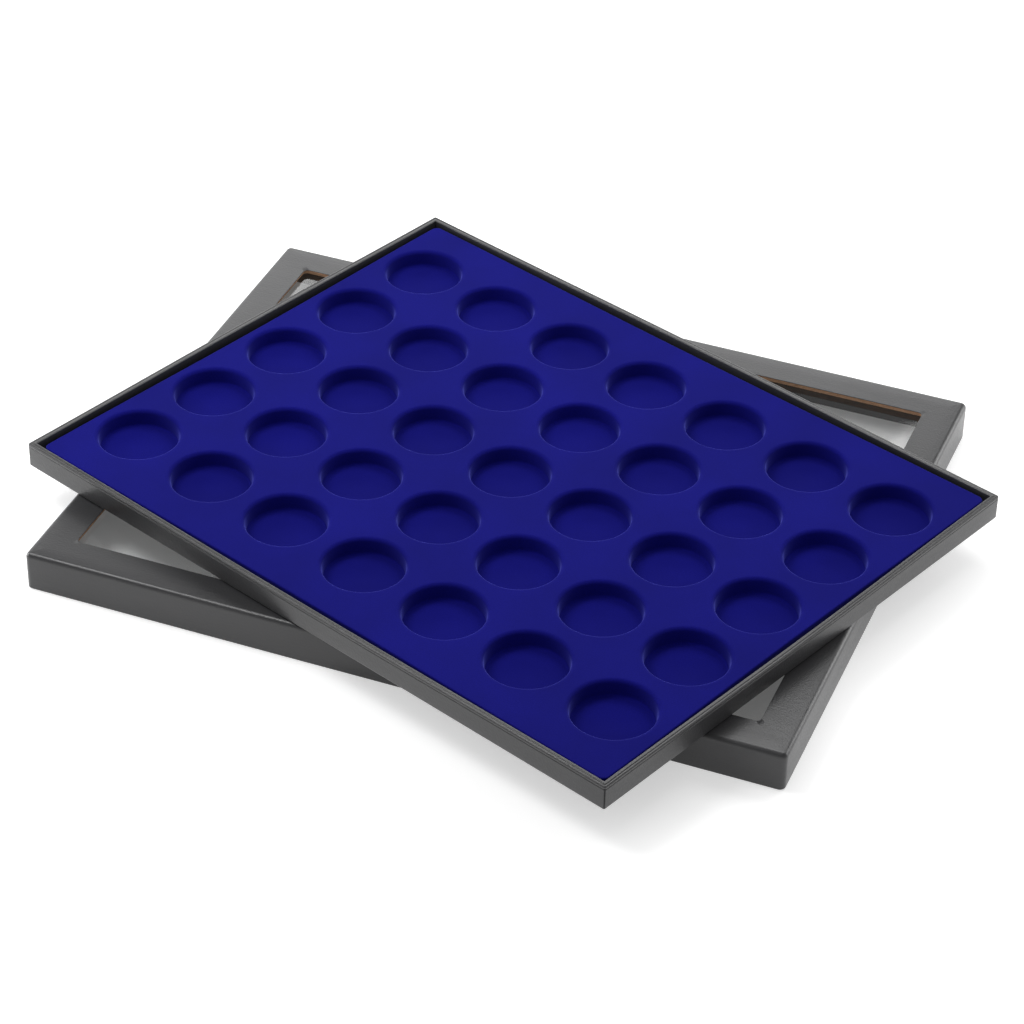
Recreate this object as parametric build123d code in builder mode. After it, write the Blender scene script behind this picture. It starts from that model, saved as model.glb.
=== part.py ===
from build123d import *
from math import cos, radians, sin
import os

# Driving dimensions, in millimetres

# Coin seats
seat_columns = 7
seat_rows = 5
seat_pitch = 41.5
capsule_diameter = 32.0
capsule_clearance = 0.2
seat_depth = 6.9
seat_lip = 0.9

# Flocked insert
sheet_thickness = 0.6
insert_end_land = 7.2
insert_side_land = 16.2
cup_sides = 16
insert_edge_chamfer = 1.0
insert_corner_radius = 2.5
insert_clearance = 0.4
rim_above_insert = 0.9

# Greyboard and the paper layers on it
board_thickness = 2.0
wrap_thickness = 0.3
lining_thickness = 0.15
corner_slit = 0.2
rim_radius = 0.35
stay_thickness = 0.12
stay_leg = 12.0
stay_end_gap = 0.5

# Tray
tray_fold_radius = 0.7

# Lid
lid_fold_radius = 1.8
lid_clearance = 0.4
closed_headroom = 2.8
window_border = 15.0
window_corner_radius = 2.0
pane_thickness = 0.3
pane_overlap = 8.0
tape_thickness = 0.1
tape_width = 6.0
lining_reveal = 1.5

# How the tray lies on the lid: turned about the vertical, with the lid's middle off to one side
tray_turn = -20.3
lid_shift_x = -3.2
lid_shift_y = 10.6

# Sizes that follow
seat_radius = capsule_diameter / 2 + capsule_clearance
insert_length = (seat_columns - 1) * seat_pitch + 2 * (seat_radius + insert_end_land)
insert_width = (seat_rows - 1) * seat_pitch + 2 * (seat_radius + insert_side_land)
insert_height = seat_depth + sheet_thickness

wall_stack = board_thickness + 2 * wrap_thickness
panel_stack = board_thickness + wrap_thickness

tray_length = insert_length + 2 * (insert_clearance + wall_stack)
tray_width = insert_width + 2 * (insert_clearance + wall_stack)
tray_height = panel_stack + lining_thickness + insert_height + rim_above_insert

lid_length = tray_length + 2 * (lid_clearance + wall_stack)
lid_width = tray_width + 2 * (lid_clearance + wall_stack)
pane_stack = tape_thickness + pane_thickness
lid_height = tray_height + closed_headroom + lining_thickness + pane_stack + panel_stack

window_length = lid_length - 2 * window_border
window_width = lid_width - 2 * window_border
pane_length = window_length + 2 * pane_overlap
pane_width = window_width + 2 * pane_overlap

# Each shell has a frame of its own. Its origin is the middle of the panel's outer face and
# its Z runs towards the rim, which is down on the lid and up on the tray.
lid_frame = Plane(
    origin=(lid_shift_x, lid_shift_y, lid_height),
    x_dir=(1, 0, 0),
    z_dir=(0, 0, -1),
)
tray_frame = Plane(
    origin=(0, 0, lid_height),
    x_dir=(cos(radians(tray_turn)), sin(radians(tray_turn)), 0),
    z_dir=(0, 0, 1),
)


def along(frame):
    """The axis from a shell's panel to its rim."""
    return Axis(frame.origin, frame.z_dir)


def round_folds(block, frame, radius):
    """Rounds the four folds between a block's panel and its sides."""
    fillet(block.faces().sort_by(along(frame))[0].edges(), radius)


def folded_board(frame, length, width, height, fold_radius):
    """Greyboard folded up into a panel with four flaps, which meet at slits in the corners."""
    outer_length = length - 2 * wrap_thickness
    outer_width = width - 2 * wrap_thickness
    flap_height = height - wrap_thickness - panel_stack
    with BuildPart() as board:
        with BuildSketch(frame.offset(wrap_thickness)):
            Rectangle(outer_length, outer_width)
        extrude(amount=height - 2 * wrap_thickness)
        round_folds(board, frame, fold_radius)
        with BuildSketch(frame.offset(panel_stack)):
            Rectangle(outer_length - 2 * board_thickness, outer_width - 2 * board_thickness)
        extrude(amount=flap_height, mode=Mode.SUBTRACT)
        # The short flaps end against the long ones, so each slit runs through a short flap
        slit_x = outer_length - board_thickness
        slit_y = outer_width - 2 * board_thickness - corner_slit
        with BuildSketch(frame.offset(panel_stack)):
            with GridLocations(slit_x, slit_y, 2, 2):
                Rectangle(board_thickness, corner_slit)
        extrude(amount=flap_height, mode=Mode.SUBTRACT)
    return board.part


def corner_stay(frame, length, width, height, fold_radius, side_x, side_y):
    """Gummed tape round the outside of one corner of the board, from the fold to the rim."""
    outer_length = length - 2 * wrap_thickness
    outer_width = width - 2 * wrap_thickness
    start = wrap_thickness + fold_radius + stay_end_gap
    end = height - wrap_thickness - stay_end_gap
    with BuildPart() as stay:
        with BuildSketch(frame.offset(start)):
            Rectangle(outer_length + 2 * stay_thickness, outer_width + 2 * stay_thickness)
            Rectangle(outer_length, outer_width, mode=Mode.SUBTRACT)
            with Locations((side_x * outer_length / 2, side_y * outer_width / 2)):
                Rectangle(2 * stay_leg, 2 * stay_leg, mode=Mode.INTERSECT)
        extrude(amount=end - start)
    return stay.part


def wrapped_cover(frame, length, width, height, fold_radius, stays):
    """Leatherette glued over the board's outside, round its rim and down the inside to the panel."""
    with BuildPart() as cover:
        with BuildSketch(frame):
            Rectangle(length, width)
        extrude(amount=height)
        round_folds(cover, frame, fold_radius + wrap_thickness)
        offset(amount=-wrap_thickness, openings=cover.faces().sort_by(along(frame))[-1])
        # The strip that closes over the board's cut edge
        with BuildSketch(frame.offset(height)):
            Rectangle(length, width)
            Rectangle(length - 2 * wall_stack, width - 2 * wall_stack, mode=Mode.SUBTRACT)
        extrude(amount=-wrap_thickness)
        # The turn-in against the flaps' inner faces
        with BuildSketch(frame.offset(panel_stack)):
            Rectangle(
                length - 2 * (wall_stack - wrap_thickness),
                width - 2 * (wall_stack - wrap_thickness),
            )
            Rectangle(length - 2 * wall_stack, width - 2 * wall_stack, mode=Mode.SUBTRACT)
        extrude(amount=height - panel_stack)
        fillet(cover.faces().sort_by(along(frame))[-1].edges(), rim_radius)
        add(stays, mode=Mode.SUBTRACT)
    return cover.part


def finish(piece, name):
    """Labels a piece and writes it."""
    piece.label = name
    export_step(piece, f"parts/{name}.step")


os.makedirs("parts", exist_ok=True)

corners = {
    "front_left": (-1, -1),
    "front_right": (1, -1),
    "back_left": (-1, 1),
    "back_right": (1, 1),
}

# Tray: board, corner stays, cover and floor lining
tray_size = (tray_length, tray_width, tray_height, tray_fold_radius)
tray_stays = {
    corner: corner_stay(tray_frame, *tray_size, side_x, side_y)
    for corner, (side_x, side_y) in corners.items()
}
for corner, stay in tray_stays.items():
    finish(stay, f"tray_corner_stay_{corner}")

finish(folded_board(tray_frame, *tray_size), "tray_board")
finish(wrapped_cover(tray_frame, *tray_size, tray_stays.values()), "tray_cover")

with BuildPart() as tray_lining:
    with BuildSketch(tray_frame.offset(panel_stack)):
        Rectangle(tray_length - 2 * wall_stack, tray_width - 2 * wall_stack)
    extrude(amount=lining_thickness)
finish(tray_lining.part, "tray_lining")

# Insert: a formed sheet whose seats stand on the tray's lining
insert_floor = tray_frame.offset(panel_stack + lining_thickness)
insert_top = insert_floor.offset(insert_height)

with BuildPart() as coin_insert:
    with BuildSketch(insert_floor):
        RectangleRounded(insert_length, insert_width, insert_corner_radius)
    extrude(amount=insert_height)
    chamfer(coin_insert.faces().sort_by(Axis.Z)[-1].edges(), insert_edge_chamfer)
    with BuildSketch(insert_floor):
        RectangleRounded(
            insert_length - 2 * sheet_thickness,
            insert_width - 2 * sheet_thickness,
            insert_corner_radius - sheet_thickness,
        )
        with GridLocations(seat_pitch, seat_pitch, seat_columns, seat_rows):
            RegularPolygon(
                seat_radius + sheet_thickness,
                cup_sides,
                major_radius=False,
                mode=Mode.SUBTRACT,
            )
    extrude(amount=insert_height - sheet_thickness, mode=Mode.SUBTRACT)
    with BuildSketch(insert_top):
        with GridLocations(seat_pitch, seat_pitch, seat_columns, seat_rows):
            Circle(seat_radius)
    extrude(amount=-seat_depth, mode=Mode.SUBTRACT)
    lips = coin_insert.faces().sort_by(Axis.Z)[-1].inner_wires().edges()
    chamfer(lips, seat_lip)
finish(coin_insert.part, "coin_insert")

# Lid: board, corner stays, cover, glued window and the lining that hides its edge
lid_size = (lid_length, lid_width, lid_height, lid_fold_radius)
lid_stays = {
    corner: corner_stay(lid_frame, *lid_size, side_x, -side_y)
    for corner, (side_x, side_y) in corners.items()
}
for corner, stay in lid_stays.items():
    finish(stay, f"lid_corner_stay_{corner}")

# The window is cut through the panel after it is covered, so both layers show at its edge
with BuildPart() as window_opening:
    with BuildSketch(lid_frame):
        RectangleRounded(window_length, window_width, window_corner_radius)
    extrude(amount=panel_stack)

with BuildPart() as lid_board:
    add(folded_board(lid_frame, *lid_size))
    add(window_opening, mode=Mode.SUBTRACT)
finish(lid_board.part, "lid_board")

with BuildPart() as lid_cover:
    add(wrapped_cover(lid_frame, *lid_size, lid_stays.values()))
    add(window_opening, mode=Mode.SUBTRACT)
finish(lid_cover.part, "lid_cover")

with BuildPart() as window_pane:
    with BuildSketch(lid_frame.offset(panel_stack + tape_thickness)):
        Rectangle(pane_length, pane_width)
    extrude(amount=pane_thickness)
finish(window_pane.part, "window_pane")

# Two tapes run the pane's full length, and two fill in between them at its ends
long_tape_y = (pane_width - tape_width) / 2
short_tape_x = (pane_length - tape_width) / 2
short_tape_length = pane_width - 2 * tape_width
tapes = {
    "front": (0, long_tape_y, pane_length, tape_width),
    "back": (0, -long_tape_y, pane_length, tape_width),
    "left": (-short_tape_x, 0, tape_width, short_tape_length),
    "right": (short_tape_x, 0, tape_width, short_tape_length),
}
for side, (tape_x, tape_y, size_x, size_y) in tapes.items():
    with BuildPart() as tape:
        with BuildSketch(lid_frame.offset(panel_stack)):
            with Locations((tape_x, tape_y)):
                Rectangle(size_x, size_y)
        extrude(amount=tape_thickness)
    finish(tape.part, f"window_tape_{side}")

# The lining lies on the panel, steps over the pane's edge and stops just short of the window
with BuildPart() as lid_lining:
    with BuildSketch(lid_frame.offset(panel_stack)):
        Rectangle(lid_length - 2 * wall_stack, lid_width - 2 * wall_stack)
        Rectangle(pane_length, pane_width, mode=Mode.SUBTRACT)
    extrude(amount=lining_thickness)
    with BuildSketch(lid_frame.offset(panel_stack)):
        Rectangle(pane_length + 2 * lining_thickness, pane_width + 2 * lining_thickness)
        Rectangle(pane_length, pane_width, mode=Mode.SUBTRACT)
    extrude(amount=pane_stack + lining_thickness)
    with BuildSketch(lid_frame.offset(panel_stack + pane_stack)):
        Rectangle(pane_length + 2 * lining_thickness, pane_width + 2 * lining_thickness)
        Rectangle(
            window_length + 2 * lining_reveal,
            window_width + 2 * lining_reveal,
            mode=Mode.SUBTRACT,
        )
    extrude(amount=lining_thickness)
finish(lid_lining.part, "lid_lining")
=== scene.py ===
# %% [markdown]
# # A coin display case, dressed for its photograph
#
# The construction comes packed: every board, cover, tape and film is already there as a
# solid of the right size. This lesson gives those solids their finish, and models three
# skins in more detail than the solids have: the leatherette cover of the tray, that of
# the lid, and the flocked insert with its 35 seats. The window's film is drawn again
# too, because it sags, and so are the boards and their corner stays, because the real
# ones go round their corners in a soft bend.

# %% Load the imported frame
import bpy
import bmesh
from math import cos, exp, pi, radians, sin, tau
from mathutils import Matrix, Vector


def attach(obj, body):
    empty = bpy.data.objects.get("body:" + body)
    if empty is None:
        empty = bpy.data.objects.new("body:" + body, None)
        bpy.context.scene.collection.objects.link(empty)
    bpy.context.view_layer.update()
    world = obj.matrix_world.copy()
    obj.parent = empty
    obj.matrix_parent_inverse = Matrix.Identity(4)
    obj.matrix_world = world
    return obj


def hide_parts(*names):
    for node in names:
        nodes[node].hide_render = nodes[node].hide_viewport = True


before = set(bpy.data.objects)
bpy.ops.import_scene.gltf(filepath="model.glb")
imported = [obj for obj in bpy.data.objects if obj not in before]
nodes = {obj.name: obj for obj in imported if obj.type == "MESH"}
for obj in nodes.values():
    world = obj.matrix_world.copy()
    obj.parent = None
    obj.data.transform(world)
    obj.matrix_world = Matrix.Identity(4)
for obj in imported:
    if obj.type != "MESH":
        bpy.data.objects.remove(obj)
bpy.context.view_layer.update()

# %% [markdown]
# Everything is measured in millimetres here, as a case maker would, and turned into
# Blender's metres by one factor. The tray lies turned on the lid, so its skin is drawn
# square to the axes, about its own middle, and then turned into place.

# %% Units and the two frames
MM = 0.001
TRAY_TURN = radians(-20.3)


def middle_and_half(node, turn):
    """The middle of a node, and half its length and width along axes turned about Z."""
    back = Matrix.Rotation(-turn, 3, "Z")
    points = [back @ v.co for v in nodes[node].data.vertices]
    low = Vector(min(p[i] for p in points) for i in range(3))
    high = Vector(max(p[i] for p in points) for i in range(3))
    middle = Matrix.Rotation(turn, 3, "Z") @ ((low + high) / 2)
    return middle, (high - low) / 2


tray_middle, tray_half = middle_and_half("tray_cover", TRAY_TURN)
lid_middle, lid_half = middle_and_half("lid_cover", 0)
insert_middle, insert_half = middle_and_half("coin_insert", TRAY_TURN)
pane_middle, pane_half = middle_and_half("window_pane", 0)
for name, half in (("tray", tray_half), ("lid", lid_half), ("insert", insert_half)):
    print(name, [round(2 * side / MM, 2) for side in half], "mm")

# %% [markdown]
# ## Skins swept round a rectangle
#
# A covered box looks the same all the way round: one section, carried along four sides
# and four corners. So a skin is a list of stations, each saying how far in from the
# outer wall it lies, how high, and how round its corners are. Joining each station's
# loop to the next one's makes the skin. The runs between corners are cut into short
# pieces, because a wall of board bows out a little between the corners that hold it.

# %% Loops and sweeps
CORNER_STEPS = 8
RUN_STEPS = 24
CREASE_ANGLE = radians(40)
SEAT_CREASE_ANGLE = radians(60)


def rounded_loop(half_x, half_y, radius, z, notch=0.0, bow=0.0):
    """Points round a rectangle with round corners. A notch pulls in each corner's middle point,
    and a bow pushes out the middle of each side."""
    centres = [
        Vector((sign_x * (half_x - radius), sign_y * (half_y - radius)))
        for sign_x, sign_y in ((1, 1), (-1, 1), (-1, -1), (1, -1))
    ]
    points = []
    for quarter, centre in enumerate(centres):
        for step in range(CORNER_STEPS + 1):
            angle = (quarter + step / CORNER_STEPS) * pi / 2
            reach = radius - (notch if step == CORNER_STEPS // 2 else 0)
            points.append(centre + reach * Vector((cos(angle), sin(angle))))
        angle = (quarter + 1) * pi / 2
        outward = Vector((cos(angle), sin(angle)))
        start, end = points[-1], centres[(quarter + 1) % 4] + radius * outward
        for step in range(1, RUN_STEPS):
            share = step / RUN_STEPS
            points.append(start.lerp(end, share) + outward * bow * sin(pi * share) ** 2)
    return [Vector((p.x, p.y, z)) for p in points]


def add_loop(bm, points):
    """Adds points to a mesh and gives its new vertices."""
    return [bm.verts.new(p) for p in points]


def join_loops(bm, first, second):
    """Joins two closed loops of equal length by a band of four-sided faces."""
    count = len(first)
    for i in range(count):
        j = (i + 1) % count
        bm.faces.new((first[i], first[j], second[j], second[i]))


def mesh_object(name, bm, middle, turn, crease_angle=CREASE_ANGLE):
    """Makes an object of a mesh that was drawn about its own middle, and turns it into place.
    It looks smooth, but for edges that bend by more than the crease angle."""
    bmesh.ops.recalc_face_normals(bm, faces=bm.faces)
    mesh = bpy.data.meshes.new(name)
    bm.to_mesh(mesh)
    bm.free()
    mesh.transform(Matrix.Translation(middle) @ Matrix.Rotation(turn, 4, "Z"))
    for polygon in mesh.polygons:
        polygon.use_smooth = True
    mesh.set_sharp_from_angle(angle=crease_angle)
    made = bpy.data.objects.new(name, mesh)
    bpy.context.scene.collection.objects.link(made)
    print(name, len(mesh.vertices), "points", len(mesh.polygons), "faces")
    return made


def arc(centre_in, centre_z, radius, start, end, steps):
    """Stations (inset, height) along a round of the section, angles in degrees from outward."""
    stations = []
    for step in range(steps + 1):
        angle = radians(start + (end - start) * step / steps)
        stations.append((centre_in - radius * cos(angle), centre_z + radius * sin(angle)))
    return stations


# %% [markdown]
# ## What the layers measure
#
# The board is 2 mm thick and the leatherette 0.3 mm. The flaps are wrapped on both
# sides, so a wall is 2.6 mm. The photograph shows the lid's folds as a broad soft band
# and the tray's as a thin line, so the lid's radius is the larger one. The paper of the
# corner stays is drawn thinner than the real 0.12 mm, so that it keeps clear of the
# grooves which are pressed into the tray's cover.

# %% Layer sizes
BOARD = 2.0
WRAP = 0.3
WALL = BOARD + 2 * WRAP
PANEL = BOARD + WRAP
STAY = 0.05
LID_FOLD = 2.1
TRAY_FOLD = 1.0
RIM_ROUND = 0.6
INNER_ROUND = 0.4
LID_CORNER = 2.4
TRAY_CORNER = 0.9
TRAY_BOARD_CORNER = 1.4
TRAY_BOW = 0.7
WINDOW_BORDER = 15.0
WINDOW_CORNER = 2.0
SMALLEST_CORNER = 0.15
NEAR_FOLD = 6.0
ON_PANEL = 40.0
print("wall", WALL, "mm, panel", PANEL, "mm")


def corner_at(inset, outer_radius):
    """The radius of a loop's corners, when the loop lies inside an outer one with round corners."""
    return max(outer_radius - inset, SMALLEST_CORNER)


def skin(name, stations, half, middle, turn, closed, notches=None, bow=0.0):
    """Sweeps stations (inset, height, corner radius) round a rectangle, all in millimetres.
    A closed skin joins its last loop to its first, and an open one fills both with a flat face.
    The walls bow by the given amount at the rim, and not at all at the panel's fold."""
    bm = bmesh.new()
    loops = []
    for i, (inset, height, radius) in enumerate(stations):
        notch = notches[i] if notches else 0.0
        on_wall = inset < WALL + 0.01
        share = min(max(height / (2 * half.z / MM), 0), 1) if on_wall else 0
        loops.append(
            add_loop(
                bm,
                rounded_loop(
                    half.x - inset * MM,
                    half.y - inset * MM,
                    radius * MM,
                    height * MM - half.z,
                    notch * MM,
                    bow * share * MM,
                ),
            )
        )
    for first, second in zip(loops, loops[1:]):
        join_loops(bm, first, second)
    if closed:
        join_loops(bm, loops[-1], loops[0])
    else:
        bm.faces.new(loops[0])
        bm.faces.new(loops[-1])
    return mesh_object(name, bm, middle, turn)


# %% [markdown]
# ## The lid's cover
#
# The leatherette starts at the window's cut edge, runs over the panel and its folds,
# down the flaps, round the rim and up inside to the panel. Its section is drawn as one
# closed outline, because the sheet has a thickness that shows at the window.

# %% Lid cover
CUT_ROUND = 0.08
NEAR_CUT = 2.0
BESIDE_WINDOW = 3.0


def with_lid_corners(outline):
    """Stations of the lid with the radius of their corners: the window's own radius beside
    the window, and elsewhere one that follows the wall's."""
    stations = []
    for inset, z in outline:
        at_window = inset > WINDOW_BORDER - BESIDE_WINDOW
        stations.append((inset, z, WINDOW_CORNER if at_window else corner_at(inset, LID_CORNER)))
    return stations


def lid_cover_stations():
    height = 2 * lid_half.z / MM
    fold_middle = height - LID_FOLD
    outside = [(WINDOW_BORDER, height - WRAP), (WINDOW_BORDER, height - CUT_ROUND)]
    outside += [(WINDOW_BORDER - CUT_ROUND, height), (WINDOW_BORDER - NEAR_CUT, height)]
    outside += [(WINDOW_BORDER / 2, height)]
    outside += arc(LID_FOLD, fold_middle, LID_FOLD, 90, 0, 8)
    outside += [(0, height * 0.66), (0, height * 0.33)]
    outside += arc(RIM_ROUND, RIM_ROUND, RIM_ROUND, 0, -90, 5)
    outside += arc(WALL - INNER_ROUND, INNER_ROUND, INNER_ROUND, -90, -180, 4)
    outside += [(WALL, height / 2), (WALL, height - PANEL)]
    hidden = [(WALL - WRAP, height - PANEL), (WALL - WRAP, WRAP), (WRAP, WRAP)]
    hidden += arc(LID_FOLD, fold_middle, LID_FOLD - WRAP, 0, 90, 8)
    return with_lid_corners(outside + hidden)


lid_skin = skin("lid_cover_skin", lid_cover_stations(), lid_half, lid_middle, 0, True)

# %% [markdown]
# ## The boards and their corner stays
#
# Greyboard is creased and folded up, and gummed paper holds its corners until the
# cover is on. Under the cover nobody sees them, but the window is cut through cover and
# board together, and there the board shows as a brown edge 2 mm thick. The cut is
# upright for its first millimetre and leans from there, as the blade bends away, so the
# edge stands back a little at the bottom. The solids have square corners, so both are
# drawn again here with the round corners that the real case has, just under its covers.

# %% Boards
CUT_LEAN = 0.8
CUT_UPRIGHT = 1.0
CUT_BEND = 1.4


def lid_board_stations():
    height = 2 * lid_half.z / MM
    top = height - WRAP
    outline = [(WINDOW_BORDER - CUT_LEAN, height - PANEL)]
    outline += [(WINDOW_BORDER - CUT_LEAN / 4, height - CUT_BEND)]
    outline += [(WINDOW_BORDER, height - CUT_UPRIGHT), (WINDOW_BORDER, top)]
    outline += [(WINDOW_BORDER / 2, top)]
    outline += arc(LID_FOLD, height - LID_FOLD, LID_FOLD - WRAP, 90, 0, 6)
    outline += [(WRAP, WRAP), (WALL - WRAP, WRAP), (WALL - WRAP, height - PANEL)]
    return with_lid_corners(outline)


def tray_board_stations():
    height = 2 * tray_half.z / MM
    outline = [(ON_PANEL, WRAP)]
    outline += arc(TRAY_FOLD, TRAY_FOLD, TRAY_FOLD - WRAP, -90, 0, 5)
    outline += [(WRAP, height - WRAP), (WALL - WRAP, height - WRAP), (WALL - WRAP, PANEL)]
    outline += [(ON_PANEL, PANEL)]
    corner = TRAY_BOARD_CORNER + WRAP
    return [(inset, z, corner_at(inset, corner)) for inset, z in outline]


lid_board = skin("lid_board_folded", lid_board_stations(), lid_half, lid_middle, 0, True)
tray_board = skin(
    "tray_board_folded", tray_board_stations(), tray_half, tray_middle, TRAY_TURN, False,
    bow=TRAY_BOW,
)

# %% [markdown]
# ## The window's film
#
# The film is taped to the panel all round, and nothing holds it in the middle, so it
# sags by three millimetres. The eye reads this from its mirror image of the light: it is
# bright where the film slopes away from the camera, along the near edges, and dark
# along the far ones.

# %% Film
SAG = 3.0
SAG_REACH = 21.0
FILM_CELL = 4.0


def sag_share(distance):
    """How much of the sag there is this many millimetres inside the window's edge."""
    return 1 - exp(-max(distance, 0) / SAG_REACH)


def make_film():
    """A closed sheet with the pane's outline, each side a grid of points let down by the sag."""
    bm = bmesh.new()
    free_x = lid_half.x / MM - WINDOW_BORDER
    free_y = lid_half.y / MM - WINDOW_BORDER
    reach_x, reach_y = pane_half.x / MM, pane_half.y / MM
    columns, rows = round(2 * reach_x / FILM_CELL), round(2 * reach_y / FILM_CELL)
    sheets = []
    for side in (pane_half.z, -pane_half.z):
        grid = []
        for j in range(rows + 1):
            y = reach_y * (2 * j / rows - 1)
            line = []
            for i in range(columns + 1):
                x = reach_x * (2 * i / columns - 1)
                sag = SAG * sag_share(free_x - abs(x)) * sag_share(free_y - abs(y))
                line.append(bm.verts.new((x * MM, y * MM, side - sag * MM)))
            grid.append(line)
        for first, second in zip(grid, grid[1:]):
            for a, b, c, d in zip(first, first[1:], second[1:], second):
                bm.faces.new((a, b, c, d))
        # The points round the sheet's edge, in order, to join its two sides there
        round_edge = grid[0][:-1] + [line[-1] for line in grid[:-1]]
        round_edge += grid[-1][:0:-1] + [line[0] for line in grid[:0:-1]]
        sheets.append(round_edge)
    join_loops(bm, sheets[0], sheets[1])
    return mesh_object("window_film", bm, pane_middle, 0)


film = make_film()

# %% [markdown]
# A corner stay is a strip of gummed kraft paper, wetted and bent round the corner of the
# board. It runs from just above the fold to just below the rim. Each is a small closed
# sheet here: one path round the corner, at two heights and on two sides of the paper.

# %% Corner stays
STAY_LEG = 12.0
STAY_END_GAP = 0.5


def stay_path(side_x, side_y, half, inset, radius):
    """Points along one corner of a board, from the end of one leg to the end of the other."""
    reach_x, reach_y = half.x / MM - inset, half.y / MM - inset
    end_x, end_y = half.x / MM - WRAP - STAY_LEG, half.y / MM - WRAP - STAY_LEG
    path = [(end_x, reach_y)]
    for step in range(CORNER_STEPS + 1):
        angle = pi / 2 * (1 - step / CORNER_STEPS)
        path.append(
            (reach_x - radius + radius * cos(angle), reach_y - radius + radius * sin(angle))
        )
    path.append((reach_x, end_y))
    return [(side_x * x, side_y * y) for x, y in path]


def make_stay(name, side_x, side_y, half, middle, turn, radius, low, high):
    """One stay between two heights, on the corner that the signs of x and y name."""
    bm = bmesh.new()
    rows = []
    for inset, height in ((WRAP, low), (WRAP, high), (WRAP - STAY, high), (WRAP - STAY, low)):
        path = stay_path(side_x, side_y, half, inset, radius + WRAP - inset)
        rows.append([bm.verts.new((x * MM, y * MM, height * MM - half.z)) for x, y in path])
    for i in range(4):
        first, second = rows[i], rows[(i + 1) % 4]
        for a, b, c, d in zip(first, first[1:], second[1:], second):
            bm.faces.new((a, b, c, d))
    bm.faces.new([row[0] for row in rows])
    bm.faces.new([row[-1] for row in rows])
    return mesh_object(name, bm, middle, turn)


corner_sides = {
    "front_left": (-1, -1),
    "front_right": (1, -1),
    "back_left": (-1, 1),
    "back_right": (1, 1),
}
lid_height = 2 * lid_half.z / MM
tray_height = 2 * tray_half.z / MM
stays = []
for corner, (side_x, side_y) in corner_sides.items():
    made = make_stay(
        f"lid_stay_{corner}", side_x, side_y, lid_half, lid_middle, 0, LID_CORNER - WRAP,
        WRAP + STAY_END_GAP, lid_height - LID_FOLD - STAY_END_GAP,
    )
    stays.append((made, "lid", f"lid_corner_stay_{corner}", "gummed_paper"))
    made = make_stay(
        f"tray_stay_{corner}", side_x, side_y, tray_half, tray_middle, TRAY_TURN,
        TRAY_BOARD_CORNER, TRAY_FOLD + STAY_END_GAP, tray_height - WRAP - STAY_END_GAP,
    )
    stays.append((made, "tray", f"tray_corner_stay_{corner}", "gummed_paper"))

# %% [markdown]
# ## The tray's cover
#
# The tray's rim is where the eye goes: the photograph shows fine lines along it, one on
# its top and one just below its outer fold, where the paper was pressed round the
# board's edge. A shallow groove makes each. At each corner the sheet's two ends meet,
# and the seam shows as a fine dark upright line, so the loops of the outer wall are
# notched there, less and less towards the rim.

# %% Tray cover
SEAM_DEPTH = 0.34
RIM_GROOVE = 0.24
GROOVE_HALF = 0.3
GROOVE_BELOW = 1.35
GROOVE_ON_TOP = 1.1


def groove():
    """Depth and offset across a pressed groove, from one of its edges to the other."""
    return [
        (RIM_GROOVE * (1 + cos(pi * share)) / 2, share * GROOVE_HALF)
        for share in (-1, -0.6, -0.25, 0, 0.25, 0.6, 1)
    ]


def tray_cover_stations():
    """The cover's section, and beside it how deep the seam is at each of its stations."""
    height = tray_height
    low_edge = height - GROOVE_BELOW - GROOVE_HALF
    outside = [(ON_PANEL, 0), (NEAR_FOLD, 0)]
    outside += arc(TRAY_FOLD, TRAY_FOLD, TRAY_FOLD, -90, 0, 6)
    outside += [(0, height / 2), (0, low_edge - 0.1)]
    outside += [(depth, height - GROOVE_BELOW + offset) for depth, offset in groove()]
    outside += arc(RIM_ROUND, height - RIM_ROUND, RIM_ROUND, 0, 90, 7)
    outside += [(GROOVE_ON_TOP + offset, height - depth) for depth, offset in groove()]
    outside += arc(WALL - INNER_ROUND, height - INNER_ROUND, INNER_ROUND, 90, 180, 4)
    outside += [(WALL, height / 2), (WALL, PANEL)]
    hidden = [(WALL - WRAP, PANEL), (WALL - WRAP, height - WRAP), (WRAP, height - WRAP)]
    hidden += arc(TRAY_FOLD, TRAY_FOLD, TRAY_FOLD - WRAP, 0, -90, 6)
    hidden += [(NEAR_FOLD, WRAP), (ON_PANEL, WRAP)]
    stations = [(inset, z, corner_at(inset, TRAY_CORNER)) for inset, z in outside + hidden]
    seam = []
    for inset, z, radius in stations:
        on_wall = inset <= RIM_GROOVE and TRAY_FOLD <= z <= low_edge
        fading = inset <= RIM_GROOVE and low_edge < z <= height - RIM_ROUND
        seam.append(SEAM_DEPTH if on_wall else SEAM_DEPTH / 2 if fading else 0.0)
    return stations, seam


tray_stations, tray_seam = tray_cover_stations()
tray_skin = skin(
    "tray_cover_skin", tray_stations, tray_half, tray_middle, TRAY_TURN, False, tray_seam,
    TRAY_BOW,
)

# %% [markdown]
# ## The insert
#
# It is one sheet of polystyrene, heated and sucked down over a mould, then sprayed
# with flock. So all its corners are soft: a rounded lip at each seat, a slight slope
# on the wall, a rounded foot. Each seat sits in a square cell of the grid, drawn as
# rings from the middle of the seat out to the cell's edge, and neighbouring cells
# share their edge points.

# %% One seat
SEAT_COLUMNS = 7
SEAT_ROWS = 5
SEAT_PITCH = 41.5
SEAT_RADIUS = 16.2
SEAT_DEPTH = 6.9
SEAT_STEPS = 64
LIP_ROUND = 1.7
FOOT_ROUND = 1.2
FLAT_RING = 0.8
WALL_SLOPE = 0.4
GRID_LEFT = -144.2


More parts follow.
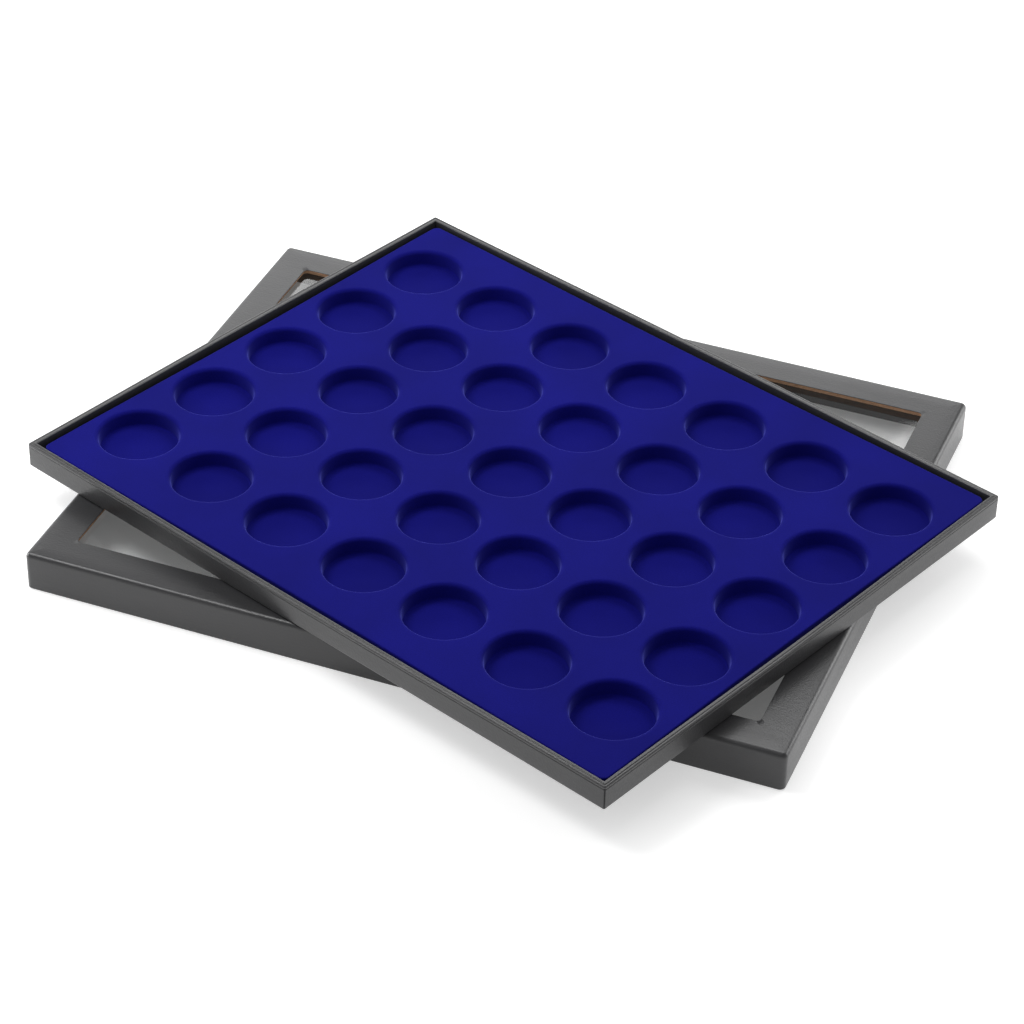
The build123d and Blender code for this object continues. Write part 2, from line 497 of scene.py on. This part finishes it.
def seat_section():
    """Radius and height of a seat's rings, from the middle of its floor to the flat round it."""
    foot_radius = SEAT_RADIUS - WALL_SLOPE
    rings = [(foot_radius * share, -SEAT_DEPTH) for share in (0.3, 0.6, 0.85)]
    for step in range(7):
        angle = radians(90 * step / 6)
        rings.append(
            (
                foot_radius - FOOT_ROUND + FOOT_ROUND * sin(angle),
                -SEAT_DEPTH + FOOT_ROUND * (1 - cos(angle)),
            )
        )
    rings.append((SEAT_RADIUS - WALL_SLOPE / 2, -SEAT_DEPTH / 2))
    for step in range(9):
        angle = radians(90 * step / 8)
        rings.append(
            (SEAT_RADIUS + LIP_ROUND * (1 - cos(angle)), -LIP_ROUND * (1 - sin(angle)))
        )
    rings.append((SEAT_RADIUS + LIP_ROUND + FLAT_RING, 0))
    return rings


def add_seat(bm, centre_x, centre_y, top):
    """One seat in its square cell, with the flat of the sheet at the given height."""
    section = seat_section()
    angles = [tau * step / SEAT_STEPS for step in range(SEAT_STEPS)]
    middle = bm.verts.new((centre_x * MM, centre_y * MM, top - SEAT_DEPTH * MM))
    inner = None
    for radius, height in section:
        ring = [
            bm.verts.new(
                (
                    (centre_x + radius * cos(a)) * MM,
                    (centre_y + radius * sin(a)) * MM,
                    top + height * MM,
                )
            )
            for a in angles
        ]
        if inner is None:
            for i in range(SEAT_STEPS):
                bm.faces.new((middle, ring[i], ring[(i + 1) % SEAT_STEPS]))
        else:
            join_loops(bm, inner, ring)
        inner = ring
    half = SEAT_PITCH / 2
    edge = []
    for a in angles:
        reach = half / max(abs(cos(a)), abs(sin(a)))
        edge_x = max(centre_x + reach * cos(a), GRID_LEFT)
        edge.append(bm.verts.new((edge_x * MM, (centre_y + reach * sin(a)) * MM, top)))
    join_loops(bm, inner, edge)


# %% [markdown]
# The grid of seats has a flat border round it, and the border a rounded edge and a skirt
# that stands on the tray's floor. The sheet shrinks as it cools, so its sides draw in a
# little, and it has slid against the tray's near walls: a dark gap shows along the two
# far ones. That leaves little room on the left, so the cells there stop at GRID_LEFT. A
# Solidify modifier gives the sheet its thickness, from the flocked side down.

# %% The whole sheet
SHEET = 0.6
INSERT_EDGE = 0.6
INSERT_CORNER = 3.0
NEAR_GAP = 0.4
LEFT_GAP = 2.0
BACK_GAP = 1.5
INSERT_BOW = -0.8


def make_insert():
    """The grid of seats, and round it the sheet's flat border, rounded edge and skirt."""
    bm = bmesh.new()
    top = insert_half.z
    for column in range(SEAT_COLUMNS):
        for row in range(SEAT_ROWS):
            add_seat(
                bm,
                (column - (SEAT_COLUMNS - 1) / 2) * SEAT_PITCH,
                (row - (SEAT_ROWS - 1) / 2) * SEAT_PITCH,
                top,
            )
    bmesh.ops.remove_doubles(bm, verts=bm.verts, dist=0.01 * MM)
    grid_edge = [e for e in bm.edges if len(e.link_faces) == 1]
    edge_round = arc(INSERT_EDGE, -INSERT_EDGE, INSERT_EDGE, 90, 0, 6)
    stations = [(INSERT_EDGE + 0.1, 0)] + edge_round + [(0, -2 * insert_half.z / MM)]
    slid = Vector((LEFT_GAP - NEAR_GAP, NEAR_GAP - BACK_GAP, 0)) * MM / 2
    sheet_half = insert_half - Vector((LEFT_GAP + NEAR_GAP, BACK_GAP + NEAR_GAP, 0)) * MM / 2
    loops = []
    for inset, height in stations:
        outline = rounded_loop(
            sheet_half.x - inset * MM,
            sheet_half.y - inset * MM,
            corner_at(inset, INSERT_CORNER) * MM,
            top + height * MM,
            bow=INSERT_BOW * MM,
        )
        loops.append(add_loop(bm, [point + slid for point in outline]))
    for first, second in zip(loops, loops[1:]):
        join_loops(bm, first, second)
    # The border's loop at the height of the flat is bridged to the edge of the grid
    flat_edge = [e for e in bm.edges if len(e.link_faces) == 1 and e not in grid_edge]
    flat_edge = [e for e in flat_edge if e.verts[0].co.z > 0]
    bmesh.ops.bridge_loops(bm, edges=grid_edge + flat_edge)
    return mesh_object("flocked_insert", bm, insert_middle, TRAY_TURN, SEAT_CREASE_ANGLE)


insert_skin = make_insert()
thickness = insert_skin.modifiers.new("sheet thickness", "SOLIDIFY")
thickness.thickness = SHEET * MM
thickness.offset = -1
print("sheet", SHEET, "mm,", SEAT_COLUMNS * SEAT_ROWS, "seats")

# %% [markdown]
# ## Finishes
#
# One helper adds a node with its settings and links, and one turns the hex colour that
# a swatch is written in into the linear numbers that Blender works with.

# %% Helpers for the finishes
def linear(hex_colour):
    """A swatch's sRGB hex colour as a linear RGBA colour."""
    channels = [int(hex_colour[i : i + 2], 16) / 255 for i in (1, 3, 5)]
    turned = [c / 12.92 if c <= 0.04045 else ((c + 0.055) / 1.055) ** 2.4 for c in channels]
    return (*turned, 1.0)


def add_node(tree, kind, settings=None, values=(), **sockets):
    """Adds a node. Settings are its properties; values and sockets are what goes into its
    inputs, by place or by name: numbers, colours, or another node's output."""
    node = tree.nodes.new(kind)
    for key, value in (settings or {}).items():
        setattr(node, key, value)
    wanted = list(enumerate(values)) + [(k.replace("_", " "), v) for k, v in sockets.items()]
    for key, value in wanted:
        if isinstance(value, bpy.types.NodeSocket):
            tree.links.new(value, node.inputs[key])
        else:
            node.inputs[key].default_value = value
    return node


def new_finish(name):
    """An empty material: itself, its node tree, the place on the object, and its surface."""
    material = bpy.data.materials.new(name)
    material.use_nodes = True
    tree = material.node_tree
    tree.nodes.clear()
    place = add_node(tree, "ShaderNodeTexCoord").outputs["Object"]
    output = add_node(tree, "ShaderNodeOutputMaterial")
    surface = add_node(tree, "ShaderNodeBsdfPrincipled")
    tree.links.new(surface.outputs["BSDF"], output.inputs["Surface"])
    return material, tree, place, surface


def colour_between(tree, factor, low, high, start, end):
    """A colour that runs from low to high while the factor runs from start to end."""
    ramp = add_node(tree, "ShaderNodeValToRGB", Fac=factor)
    for element, position, colour in zip(
        ramp.color_ramp.elements, (start, end), (low, high), strict=True
    ):
        element.position = position
        element.color = linear(colour)
    return ramp.outputs["Color"]


def per_mm(size):
    """The texture scale that makes one cell or wave of the given size in millimetres."""
    return 1 / (size * MM)


# %% [markdown]
# ### Leatherette
#
# Paper with a coat of polyurethane, embossed with a fine pebble grain and left
# semi-matt. The coat makes the colour even, so most of what the eye sees is the soft
# gloss broken up by the grain: that of any plastic, with an IOR of 1.5, and a roughness
# near 0.4. The calender that embosses the paper leaves fine streaks along it, where the
# gloss is a little sharper. The real pebbles are about 0.3 mm across, finer than the
# render shows, so they are drawn at 0.7 mm. The thin clear coat on top has a sharper
# gloss, and draws the light line along the lid's front fold.

# %% Leatherette
GRAIN = 0.7
STREAK = 0.9
STREAK_LENGTH = 14
CLOUD = 45


def leatherette():
    material, tree, place, surface = new_finish("leatherette_on_greyboard")
    pebbles = add_node(
        tree, "ShaderNodeTexVoronoi", {"feature": "SMOOTH_F1"}, Vector=place, Scale=per_mm(GRAIN)
    )
    along = add_node(
        tree, "ShaderNodeMapping", Vector=place, Scale=(STREAK / STREAK_LENGTH, 1, 1)
    )
    streaks = add_node(
        tree, "ShaderNodeTexNoise", Vector=along.outputs["Vector"], Scale=per_mm(STREAK), Detail=3.0
    )
    cloud = add_node(tree, "ShaderNodeTexNoise", Vector=place, Scale=per_mm(CLOUD), Detail=3.0)
    tone = colour_between(tree, cloud.outputs["Fac"], "#29292b", "#2f2f31", 0.3, 0.7)
    tree.links.new(tone, surface.inputs["Base Color"])
    rough = add_node(
        tree,
        "ShaderNodeMapRange",
        Value=streaks.outputs["Fac"],
        From_Min=0.3,
        From_Max=0.7,
        To_Min=0.34,
        To_Max=0.42,
    )
    tree.links.new(rough.outputs["Result"], surface.inputs["Roughness"])
    relief = add_node(
        tree, "ShaderNodeBump", Height=pebbles.outputs["Distance"], Strength=0.8, Distance=0.06 * MM
    )
    embossed = add_node(
        tree,
        "ShaderNodeBump",
        Height=streaks.outputs["Fac"],
        Strength=0.35,
        Distance=0.06 * MM,
        Normal=relief.outputs["Normal"],
    )
    tree.links.new(embossed.outputs["Normal"], surface.inputs["Normal"])
    tree.links.new(embossed.outputs["Normal"], surface.inputs["Coat Normal"])
    surface.inputs["IOR"].default_value = 1.5
    surface.inputs["Coat Weight"].default_value = 0.2
    surface.inputs["Coat Roughness"].default_value = 0.2
    surface.inputs["Coat IOR"].default_value = 1.5
    return material


# %% [markdown]
# ### Flock
#
# Nylon fibres half a millimetre long stand on the glued sheet. They drink up light
# seen from above and catch it at a low angle, which is what Blender's sheen does, and
# they have no gloss. The pile lies a little differently from place to place. One fibre
# is far too thin to show, so the finest pattern is that of small tufts, half a
# millimetre across.

# %% Flock
PILE = 0.5
LAY = 35


def flock():
    material, tree, place, surface = new_finish("flocked_polystyrene")
    pile = add_node(tree, "ShaderNodeTexNoise", Vector=place, Scale=per_mm(PILE), Detail=2.0)
    lay = add_node(tree, "ShaderNodeTexNoise", Vector=place, Scale=per_mm(LAY), Detail=3.0)
    both = add_node(
        tree, "ShaderNodeMath", {"operation": "MULTIPLY"}, (pile.outputs["Fac"], lay.outputs["Fac"])
    )
    tone = colour_between(tree, both.outputs["Value"], "#0a0a63", "#0e0e71", 0.15, 0.4)
    tree.links.new(tone, surface.inputs["Base Color"])
    surface.inputs["Roughness"].default_value = 0.95
    surface.inputs["Specular IOR Level"].default_value = 0.1
    surface.inputs["Sheen Weight"].default_value = 1.0
    surface.inputs["Sheen Roughness"].default_value = 0.28
    surface.inputs["Sheen Tint"].default_value = linear("#7076ea")
    relief = add_node(
        tree, "ShaderNodeBump", Height=pile.outputs["Fac"], Strength=0.35, Distance=0.12 * MM
    )
    tree.links.new(relief.outputs["Normal"], surface.inputs["Normal"])
    return material


# %% [markdown]
# ### Greyboard and papers
#
# Greyboard is pressed from recycled fibre, so its cut edge is brown and streaked along
# the sheet. The lining and the gummed stays are plain papers. All are matt. Fibres are
# finer than the render shows, so they are drawn as flecks of 1.2 mm.

# %% Board and papers
FLECK = 1.2


def fibrous(name, dark, light, streak, roughness):
    """Pressed fibre with flecks between two colours, squeezed flat in Z by the streak."""
    material, tree, place, surface = new_finish(name)
    flat = add_node(tree, "ShaderNodeMapping", Vector=place, Scale=(1, 1, streak))
    fibres = add_node(
        tree, "ShaderNodeTexNoise", Vector=flat.outputs["Vector"], Scale=per_mm(FLECK), Detail=5.0
    )
    tone = colour_between(tree, fibres.outputs["Fac"], dark, light, 0.3, 0.7)
    tree.links.new(tone, surface.inputs["Base Color"])
    surface.inputs["Roughness"].default_value = roughness
    relief = add_node(
        tree, "ShaderNodeBump", Height=fibres.outputs["Fac"], Strength=0.4, Distance=0.05 * MM
    )
    tree.links.new(relief.outputs["Normal"], surface.inputs["Normal"])
    return material


# %% [markdown]
# ### Tape and film
#
# The window is clear PET film, and the tape that holds it is clear polypropylene. Both
# come off polished rolls, so the gloss is sharp, but a thin film never lies quite flat,
# and a slow wave runs through it. Light goes straight through, and the share that is
# mirrored follows Fresnel's law: little from above, much at a low angle. The face where
# light comes in stands for both faces of the sheet, so its IOR is 1.8 and not the 1.6 of
# PET, and the face where light goes out mirrors nothing.

# %% Tape and film
FILM_WAVE = 60


def clear_plastic(name, tint, roughness, waviness):
    """A thin clear sheet: a see-through share, and a share that is a plain mirror."""
    material, tree, place, surface = new_finish(name)
    waves = add_node(
        tree, "ShaderNodeTexNoise", Vector=place, Scale=per_mm(FILM_WAVE), Detail=1.0
    )
    tone = colour_between(tree, waves.outputs["Fac"], tint, "#ffffff", 0.2, 0.8)
    relief = add_node(
        tree, "ShaderNodeBump", Height=waves.outputs["Fac"], Strength=waviness, Distance=0.3 * MM
    )
    surface.inputs["Base Color"].default_value = linear("#ffffff")
    surface.inputs["Metallic"].default_value = 1.0
    surface.inputs["Roughness"].default_value = roughness
    tree.links.new(relief.outputs["Normal"], surface.inputs["Normal"])
    through = add_node(tree, "ShaderNodeBsdfTransparent", Color=tone)
    mirrored = add_node(tree, "ShaderNodeFresnel", IOR=1.8)
    side = add_node(tree, "ShaderNodeNewGeometry")
    share = add_node(tree, "ShaderNodeMapRange", Value=side.outputs["Backfacing"], To_Max=0.0)
    tree.links.new(mirrored.outputs["Fac"], share.inputs["To Min"])
    both = add_node(tree, "ShaderNodeMixShader", Fac=share.outputs["Result"])
    tree.links.new(through.outputs["BSDF"], both.inputs[1])
    tree.links.new(surface.outputs["BSDF"], both.inputs[2])
    output = next(node for node in tree.nodes if node.type == "OUTPUT_MATERIAL")
    tree.links.new(both.outputs["Shader"], output.inputs["Surface"])
    return material


# %% [markdown]
# The name of each node says what it is, so a word in it picks the finish.

# %% A finish for each node
finishes = {
    "cover": leatherette(),
    "board": fibrous("greyboard", "#8c6a50", "#b38b6b", 4, 0.9),
    "lining": fibrous("black_lining_paper", "#18181a", "#222224", 1, 0.85),
    "stay": fibrous("gummed_kraft_paper", "#9c7a50", "#b08e62", 1, 0.8),
    "tape": clear_plastic("clear_tape", "#e8e6da", 0.25, 0.3),
    "pane": clear_plastic("clear_pet_film", "#f6f7f7", 0.1, 0.1),
    "insert": flock(),
}


def finish_for(node):
    """The finish of a node of the frame, by the word for its kind in its name."""
    for word, material in finishes.items():
        if word in node:
            return material
    raise KeyError(node)


for node, solid in nodes.items():
    solid.data.materials.clear()
    solid.data.materials.append(finish_for(node))
print("finishes:", sorted(material.name for material in finishes.values()))

# %% [markdown]
# Each new piece rides on the body of the solid that it takes the place of, and so moves
# with it.

# %% Dress the new pieces
for piece, body, node, slot in (
    (lid_skin, "lid", "lid_cover", "leatherette"),
    (tray_skin, "tray", "tray_cover", "leatherette"),
    (lid_board, "lid", "lid_board", "greyboard"),
    (tray_board, "tray", "tray_board", "greyboard"),
    (insert_skin, "insert", "coin_insert", "flocked_sheet"),
    (film, "lid", "window_pane", "clear_film"),
    *stays,
):
    piece.data.materials.append(finish_for(node))
    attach(piece, body)
    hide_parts(node)
    print(piece.name, "rides on the", body, "in place of", node)

# %% [markdown]
# ## The studio
#
# A product shot on white: a white floor, five softboxes, and a white room for the gloss
# to mirror. The floor takes the case's soft shadow. Its lift stands for the light that
# is thrown back and forth in a white studio, and the paper under the lid has little,
# because hardly any gets in there.

# %% Floor and paper
FLOOR_LIFT = 0.49
FLOOR_REACH = 6.0
UNDER_LIFT = 0.11


def white_sheet(name, half_x, half_y, place, finish, colour):
    """A flat matt sheet of the studio, with the nodes of its finish."""
    corners = [(-half_x, -half_y, 0), (half_x, -half_y, 0), (half_x, half_y, 0)]
    corners += [(-half_x, half_y, 0)]
    mesh = bpy.data.meshes.new(name)
    mesh.from_pydata(corners, [], [(0, 1, 2, 3)])
    made = bpy.data.objects.new(name, mesh)
    made.location = place
    bpy.context.scene.collection.objects.link(made)
    material, tree, _, surface = new_finish(finish)
    surface.inputs["Base Color"].default_value = linear(colour)
    surface.inputs["Roughness"].default_value = 0.9
    surface.inputs["Specular IOR Level"].default_value = 0.0
    surface.inputs["Emission Color"].default_value = (1, 1, 1, 1)
    mesh.materials.append(material)
    return tree, surface


tree, surface = white_sheet(
    "studio_floor", FLOOR_REACH, FLOOR_REACH, (0, 0, -0.02 * MM), "white_sweep", "#e6e6e6"
)
rays = add_node(tree, "ShaderNodeLightPath").outputs
seen = add_node(
    tree, "ShaderNodeMath", {"operation": "MAXIMUM"}, (rays["Is Camera Ray"], rays["Is Glossy Ray"])
)
lift = add_node(
    tree, "ShaderNodeMath", {"operation": "MULTIPLY"}, (seen.outputs["Value"], FLOOR_LIFT)
)
tree.links.new(lift.outputs["Value"], surface.inputs["Emission Strength"])

tree, surface = white_sheet(
    "paper_under_lid",
    lid_half.x - MM,
    lid_half.y - MM,
    (lid_middle.x, lid_middle.y, -0.01 * MM),
    "shaded_sweep",
    "#f2f2f2",
)
# The paper's emission is painted light for the little that gets in under the lid. Being lower than
# the floor's lift, it also paints the shade there.
surface.inputs["Emission Strength"].default_value = UNDER_LIFT
print("floor", 2 * FLOOR_REACH, "m wide")

# %% [markdown]
# The camera sees the room as pure white. Its light on the case is weaker, and the gloss
# mirrors a white horizon below a darker ceiling, as in a studio whose walls are lit and
# whose ceiling isn't. The ceiling is what keeps the covers' tops dark.

# %% World
ROOM_LIGHT = 0.42
HORIZON_IN_GLOSS = 1.0
CEILING_IN_GLOSS = 0.3
CEILING_FROM = 0.6
world = bpy.data.worlds.new("white_room")
bpy.context.scene.world = world
world.use_nodes = True
tree = world.node_tree
tree.nodes.clear()
rays = add_node(tree, "ShaderNodeLightPath").outputs
seen = add_node(
    tree,
    "ShaderNodeMath",
    {"operation": "MULTIPLY_ADD"},
    (rays["Is Camera Ray"], 1 - ROOM_LIGHT, ROOM_LIGHT),
)
upwards = add_node(tree, "ShaderNodeTexCoord")
split = add_node(tree, "ShaderNodeSeparateXYZ", Vector=upwards.outputs["Generated"])
ceiling = add_node(
    tree,
    "ShaderNodeMapRange",
    Value=split.outputs["Z"],
    From_Max=CEILING_FROM,
    To_Min=HORIZON_IN_GLOSS - ROOM_LIGHT,
    To_Max=CEILING_IN_GLOSS - ROOM_LIGHT,
)
mirrored = add_node(
    tree,
    "ShaderNodeMath",
    {"operation": "MULTIPLY_ADD"},
    (rays["Is Glossy Ray"], ceiling.outputs["Result"], seen.outputs["Value"]),
)
room = add_node(
    tree, "ShaderNodeBackground", Color=(1, 1, 1, 1), Strength=mirrored.outputs["Value"]
)
add_node(tree, "ShaderNodeOutputWorld", Surface=room.outputs["Background"])
print("room light", ROOM_LIGHT, "of white")

# %% [markdown]
# Gloss on a dark box is all mirror image, so each lamp stands where one surface mirrors
# it. The low one at the back is in the window's film and, faintly, in the tops. The
# overhead one on the left is in the lid's front fold, as a light line. The one above the
# back lights the flock and the floor, and the two low ones at the sides lift the walls.

# %% Lamps
def direction(azimuth, elevation):
    """Where a compass direction seen from above points (0 is +X, 90 is +Y)."""
    a, e = radians(azimuth), radians(elevation)
    return Vector((cos(a) * cos(e), sin(a) * cos(e), sin(e)))


def softbox(name, azimuth, elevation, distance, width, height, watts):
    """A lamp with a size in metres, which looks at the case from a direction and a distance."""
    lamp = bpy.data.lights.new(name, "AREA")
    lamp.shape = "RECTANGLE"
    lamp.size, lamp.size_y = width, height
    lamp.energy = watts
    made = bpy.data.objects.new(name, lamp)
    towards = direction(azimuth, elevation)
    made.rotation_euler = towards.to_track_quat("Z", "Y").to_euler()
    made.location = towards * distance
    bpy.context.scene.collection.objects.link(made)
    print(name, watts, "W")


# Direction and elevation in degrees, then distance, width and height in metres, then watts
softbox("back_softbox", 113, 25, 0.78, 0.9, 0.24, 1.5)
softbox("top_softbox", 80, 60, 0.66, 0.6, 0.3, 1.7)
softbox("overhead_softbox", 196, 60, 0.76, 0.3, 0.34, 2.3)
softbox("left_softbox", 188, 12, 0.6, 0.2, 0.3, 1.3)
softbox("right_softbox", 42, 15, 0.65, 0.3, 0.3, 1.0)

# %% [markdown]
# ## The camera
#
# Its place was found by fitting the case's corners and seats to the photograph, and is
# written as real distances: the lens is a long one, 1.3 m away.

# %% Camera
CAMERA_PLACE = Vector((382.9, -1001.1, 800.3)) * MM
CAMERA_RIGHT = Vector((0.92930, 0.36889, 0.01819))
CAMERA_UP = Vector((-0.23322, 0.54789, 0.80339))
CAMERA_BACK = Vector((0.28639, -0.75083, 0.59518))
FIELD_OF_VIEW = 17.35

camera = bpy.data.objects.new("camera", bpy.data.cameras.new("camera"))
camera.data.sensor_fit = "HORIZONTAL"
camera.data.angle = radians(FIELD_OF_VIEW)
turned = Matrix((CAMERA_RIGHT, CAMERA_UP, CAMERA_BACK)).transposed()
camera.matrix_world = Matrix.Translation(CAMERA_PLACE) @ turned.to_4x4()
bpy.context.scene.collection.objects.link(camera)
bpy.context.scene.camera = camera
bpy.context.scene.view_settings.view_transform = "Standard"
print("camera", round(CAMERA_PLACE.length, 2), "m away")
